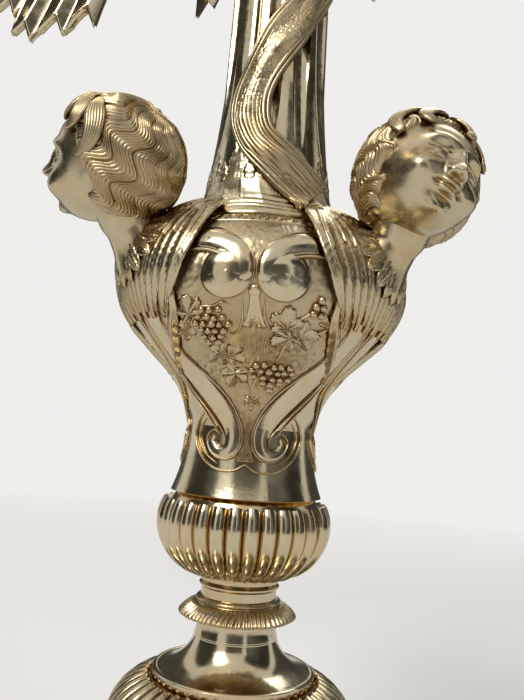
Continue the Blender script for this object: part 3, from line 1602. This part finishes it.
@dataclass
class GloryDress:
    """Clouds, beads and thick ray ends on the sunburst and luna.

    Attributes:
        cloud_count: Number of large cloud lobes.
        cloud_rings: Ring radius, lobe radius and turn, in lobes, of each size of lobe.
        bank: Sideways and upward place and radius of each lobe on the bank under the sunburst.
        bead_ring: Radius of the bezel's bead ring.
        bead_count: Number of beads.
        bead_front: How far forward the beads' middles are.
        bead_size: Radius of a bead.
        ray_spread: Width of a ray bundle for each millimetre from the middle.
        ray_back: How far behind the middle plane the rays' backs are.
        ray_strips: Number of rays in a bundle.
        ray_step: How much shorter each ray is than its inner neighbour.
        end_length: Length of a thickened end.
        ray_tips: Tip's distance from the middle and angles from upright of both kinds of bundle. The
            upright short one carries the cross, so it is left out.
    """

    cloud_count: int = 18
    cloud_rings: Line = ((69.5, 6.6, 0.0), (62.0, 4.6, 0.5), (66.5, 3.6, 0.42))
    bank: Line = ((-22.0, -106.5, 6.6), (-9.0, -104.0, 7.4), (5.0, -105.0, 7.0), (18.5, -106.0, 6.8),
                  (-14.5, -94.0, 6.2), (-1.0, -92.5, 6.8), (12.5, -94.5, 6.2), (-4.5, -86.6, 4.4),
                  (6.5, -86.8, 4.0))
    bead_ring: float = 45.2
    bead_count: int = 72
    bead_front: float = 11.2
    bead_size: float = 1.5
    ray_spread: float = 0.21947
    ray_back: float = 1.6
    ray_strips: int = 5
    ray_step: float = 7.0
    end_length: float = 30.0
    ray_tips: tuple[tuple[float, Row], ...] = (
        (278.0, (22.5, 67.5, 112.5, 157.5, 202.5, 247.5, 292.5, 337.5)),
        (242.0, (45.0, 90.0, 135.0, -45.0, -90.0, -135.0)))

    def clouds(self) -> Mesh:
        """Swelling cloud lobes with curled edges, in three sizes.

        Returns:
            The lobes, joined.
        """
        face = FlatFront()
        chance = random.Random(5)
        made = []
        for index in range(self.cloud_count):
            for ring, size, off in self.cloud_rings:
                turn = TAU * (index + off) / self.cloud_count
                side, up = ring * math.sin(turn), ring * math.cos(turn)
                size *= chance.uniform(0.9, 1.08)
                made.append(face.boss((side, up), size, size * 0.5, 7, 22))
                curl = [(side + size * share * math.cos(7.2 * share + turn * 3),
                         up + size * share * math.sin(7.2 * share + turn * 3), size * 0.46 * (1.0 - share ** 3))
                        for share in (0.95, 0.8, 0.62, 0.42, 0.2)]
                made.append(face.wire(curl, 0.45, 0.7, 24))
        return join(made)

    def ray_end(self, tip: float) -> Mesh:
        """Thickened end of one upright ray bundle, cut to the bundle's stepped swallow-tails.

        Args:
            tip: Distance of the longest ray's end from the sunburst's middle.

        Returns:
            The end, upright over the sunburst's middle.
        """
        middle, shy, inset = self.ray_strips // 2, 1.1, 0.999
        cut = [((number + share) / self.ray_strips - 0.5,
                tip - shy - self.ray_step * abs(number - middle) - fall)
               for number in range(self.ray_strips)
               for share, fall in ((0.0, 4.5), (0.1, 0.0), (0.5, 6.2), (0.9, 0.0))]
        cut_side, cut_up = np.array(cut).T
        cut_side *= tip * self.ray_spread

        def thickened(across: Points, along: Points) -> Points:
            """Points of the end's front."""
            within = (across + 1.0) / 2.0 * self.ray_strips
            number = np.clip(np.floor(within), 0, self.ray_strips - 1)
            half = across * self.ray_spread / 2
            end = np.interp(half * (tip - self.ray_step * np.abs(number - middle)), cut_side, cut_up)
            up = tip - self.end_length + along * (end - tip + self.end_length)
            ridge = 1.0 - np.abs(2.0 * (within % 1.0) - 1.0)
            rise = 2.6 * (0.45 + 0.55 * ridge) + 0.15 + 1.5 * along ** 2 * (0.6 + 0.4 * ridge)
            return np.column_stack([half * up * inset, self.ray_back - rise, GLORY_HEIGHT + up])

        return sheet(self.ray_strips * 16, 14, thickened, thickness=2.9)

    def ray_ends(self) -> Mesh:
        """Ends of all ray bundles but the one that carries the cross.

        Returns:
            The ends, joined.
        """
        made = []
        centre = Matrix.Translation((0.0, 0.0, GLORY_HEIGHT))
        for tip, angles in self.ray_tips:
            upright = self.ray_end(tip)
            for angle in angles:
                turn = Matrix.Rotation(math.radians(angle), 4, "Y")
                made.append(moved_copy(upright, centre @ turn @ centre.inverted()))
            bpy.data.objects.remove(upright)
        return join(made)

    def bank_lobes(self) -> Mesh:
        """Cloud lobes on the bank under the sunburst."""
        face = FlatFront(front=13.6)
        return join([face.boss((side, up), size, size * 0.42, 8, 28) for side, up, size in self.bank])

    def beads(self) -> Mesh:
        """A ring of beads round the bezel.

        Returns:
            The beads, joined.
        """
        turns = [TAU * index / self.bead_count for index in range(self.bead_count)]
        return join([bead((self.bead_ring * math.cos(turn), -self.bead_front,
                           GLORY_HEIGHT + self.bead_ring * math.sin(turn)), self.bead_size) for turn in turns])

    def build(self, shop: Workshop) -> None:
        """Make the clouds, ray ends and beads.

        Args:
            shop: Workshop that dresses and delivers the pieces.
        """
        shop.deliver(self.clouds(), "cloud_lobes", SATIN)
        shop.deliver(self.ray_ends(), "ray_ends", POLISHED)
        shop.deliver(self.bank_lobes(), "cloud_bank_lobes", SATIN)
        shop.deliver(self.beads(), "bezel_beads", POLISHED)


# ------------------------------------------------------------------ studio

SURROUND = (1.0, 0.99, 0.97, 1.0)


@dataclass(frozen=True)
class Card:
    """A dark card that only the metal's reflections see.

    Attributes:
        name: The card's name.
        turn: Its place round the stem, in degrees from the front.
        width: Its width, in metres.
        height: Its height.
        shade: Its grey.
        away: Its distance.
    """

    name: str
    turn: float
    width: float
    height: float
    shade: float
    away: float = 1.3

    def hang(self) -> None:
        """Stand the card on the floor, facing the stem."""
        alone()
        bpy.ops.mesh.primitive_plane_add(size=1.0)
        card = bpy.context.active_object
        card.name = self.name
        angle = math.radians(self.turn)
        spot = Vector((self.away * math.sin(angle), -self.away * math.cos(angle), self.height / 2))
        card.data.transform(Matrix.Translation(spot) @ Matrix.Rotation(angle, 4, "Z")
                            @ Matrix.Rotation(math.pi / 2, 4, "X")
                            @ Matrix.Diagonal((self.width, self.height, 1.0, 1.0)))
        material = bpy.data.materials.new(self.name)
        tree = empty_tree(material)
        colour = (self.shade, self.shade * 0.97, self.shade * 0.88, 1.0)
        glow = link_nodes(tree, "Emission", Color=colour)
        link_nodes(tree, "OutputMaterial", Surface=glow.outputs[0])
        card.data.materials.append(material)
        card.visible_camera = card.visible_diffuse = False
        card.visible_shadow = card.visible_transmission = False


@dataclass(frozen=True)
class Lamp:
    """A soft square lamp that faces the knop.

    Attributes:
        name: Lamp's name.
        turn: Its place round the stem, in degrees from the front.
        up: Its height angle, in degrees.
        away: Its distance, in metres.
        size: Its side.
        watts: Its power.
    """

    name: str
    turn: float
    up: float
    away: float
    size: float
    watts: float

    def hang(self) -> None:
        """Place the lamp and aim it."""
        light = bpy.data.lights.new(self.name, "AREA")
        light.shape, light.size, light.energy = "SQUARE", self.size, self.watts
        lamp = bpy.data.objects.new(self.name, light)
        bpy.context.scene.collection.objects.link(lamp)
        turn, up = math.radians(self.turn), math.radians(self.up)
        toward = Vector((math.sin(turn) * math.cos(up), -math.cos(turn) * math.cos(up), math.sin(up)))
        lamp.location = toward * self.away + Vector((0.0, 0.0, 0.2))
        lamp.rotation_euler = toward.to_track_quat("Z", "Y").to_euler()


@dataclass
class Studio:
    """Camera, floor, soft lamps and the pale surroundings.

    Attributes:
        distance: Camera's distance from the stem's middle line, in metres.
        height: Camera's height.
        turn: Camera's place round the stem, in degrees from the front.
        pitch: Upward tilt.
        yaw: Aim to the right of the middle line.
        roll: Tilt of the picture.
        lens: Focal length on a 36 mm frame.
        paleness: Brightness of the surroundings as the camera and the metal see them.
        lighting: Brightness of the surroundings as a light.
        floor_radius: Radius of the floor.
        stock: The cards and lamps.
    """

    distance: float = 0.247
    height: float = 0.140
    turn: float = 17.0
    pitch: float = 5.8
    yaw: float = 0.434
    roll: float = 4.2
    lens: float = 38.0
    paleness: float = 0.86
    lighting: float = 0.42
    floor_radius: float = 6.0
    stock: tuple[Card | Lamp, ...] = (
        Card("card_left", -62.0, 1.5, 1.9, 0.05), Card("card_right", 84.0, 1.9, 1.9, 0.04),
        Card("card_front", 16.0, 1.3, 1.1, 0.11, away=1.5), Card("card_back_left", -140.0, 1.1, 1.6, 0.08),
        Card("card_back_right", 160.0, 1.3, 1.6, 0.07), Lamp("key", -22.0, 42.0, 1.5, 0.6, 13.0),
        Lamp("fill", 62.0, 18.0, 1.7, 0.7, 5.0), Lamp("rim", 170.0, 48.0, 1.6, 0.9, 7.0))

    def set_camera(self) -> None:
        """Place the camera close to the knop, looking slightly up."""
        turn, pitch, yaw, roll = np.radians((self.turn, self.pitch, self.yaw, self.roll))
        level = Vector((-math.sin(turn), math.cos(turn), 0.0))
        right = Vector((math.cos(turn), math.sin(turn), 0.0))
        ahead = level * math.cos(pitch) + Vector((0.0, 0.0, math.sin(pitch)))
        above = right.cross(ahead)
        aim = ahead * math.cos(yaw) + right * math.sin(yaw)
        side = right * math.cos(yaw) - ahead * math.sin(yaw)
        across = side * math.cos(roll) + above * math.sin(roll)
        upward = above * math.cos(roll) - side * math.sin(roll)
        data = bpy.data.cameras.new("camera")
        data.lens, data.clip_start = self.lens, 0.01
        camera = bpy.data.objects.new("camera", data)
        bpy.context.scene.collection.objects.link(camera)
        axes = Matrix((across, upward, -aim)).transposed().to_4x4()
        spot = Vector((self.distance * math.sin(turn), -self.distance * math.cos(turn), self.height))
        camera.matrix_world = Matrix.Translation(spot) @ axes
        bpy.context.scene.camera = camera

    def lay_floor(self, shop: Workshop) -> None:
        """A wide pale floor under the foot, that fades into the surroundings.

        Args:
            shop: Workshop that dresses and delivers the pieces.
        """
        alone()
        bpy.ops.mesh.primitive_circle_add(vertices=96, radius=self.floor_radius, fill_type="NGON")
        floor = bpy.context.active_object
        floor.name = "floor"
        material = shop.material_of(PAPER)
        tree = material.node_tree
        reach = link_nodes(tree, "VectorMath", operation="LENGTH")
        tree.links.new(link_nodes(tree, "TexCoord").outputs["Object"], reach.inputs[0])
        share = ranged(tree, reach.outputs["Value"], 0.25, 1.1)
        glow = link_nodes(tree, "Emission", Color=SURROUND, Strength=self.paleness)
        blend = link_nodes(tree, "MixShader", Fac=share)
        tree.links.new(tree.nodes["Principled BSDF"].outputs["BSDF"], blend.inputs[1])
        tree.links.new(glow.outputs[0], blend.inputs[2])
        tree.links.new(blend.outputs[0], tree.nodes["Material Output"].inputs["Surface"])
        floor.data.materials.append(material)

    def light_world(self) -> None:
        """A soft grey surround that lights the object, shown pale to the camera, metal and glass."""
        world = bpy.data.worlds.new("surround")
        bpy.context.scene.world = world
        tree = empty_tree(world)
        path = link_nodes(tree, "LightPath").outputs
        seen = larger_of(tree, path["Is Camera Ray"], path["Is Transmission Ray"])
        shown = larger_of(tree, seen, path["Is Glossy Ray"])
        level = ranged(tree, shown, start=self.lighting, end=self.paleness)
        surround = link_nodes(tree, "Background", Color=SURROUND, Strength=level)
        link_nodes(tree, "OutputWorld", Surface=surround.outputs[0])
        bpy.context.scene.view_settings.view_transform = "Standard"

    def build(self, shop: Workshop) -> None:
        """Set up the whole studio.

        Args:
            shop: Workshop that dresses and delivers the pieces.
        """
        self.set_camera()
        self.lay_floor(shop)
        for item in self.stock:
            item.hang()
        self.light_world()


ASSEMBLIES = (Cartouches, FoldedWings, CherubHeads, ColumnDress, StemDress, GloryDress)


def main() -> None:
    """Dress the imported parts, build each sub-assembly's ornament and set the studio."""
    shop = Workshop()
    Studio().build(shop)
    shop.dress_packed_parts()
    for assembly in ASSEMBLIES:
        assembly().build(shop)
    log.info("%d new pieces", shop.count)


if __name__ == "__main__":
    main()
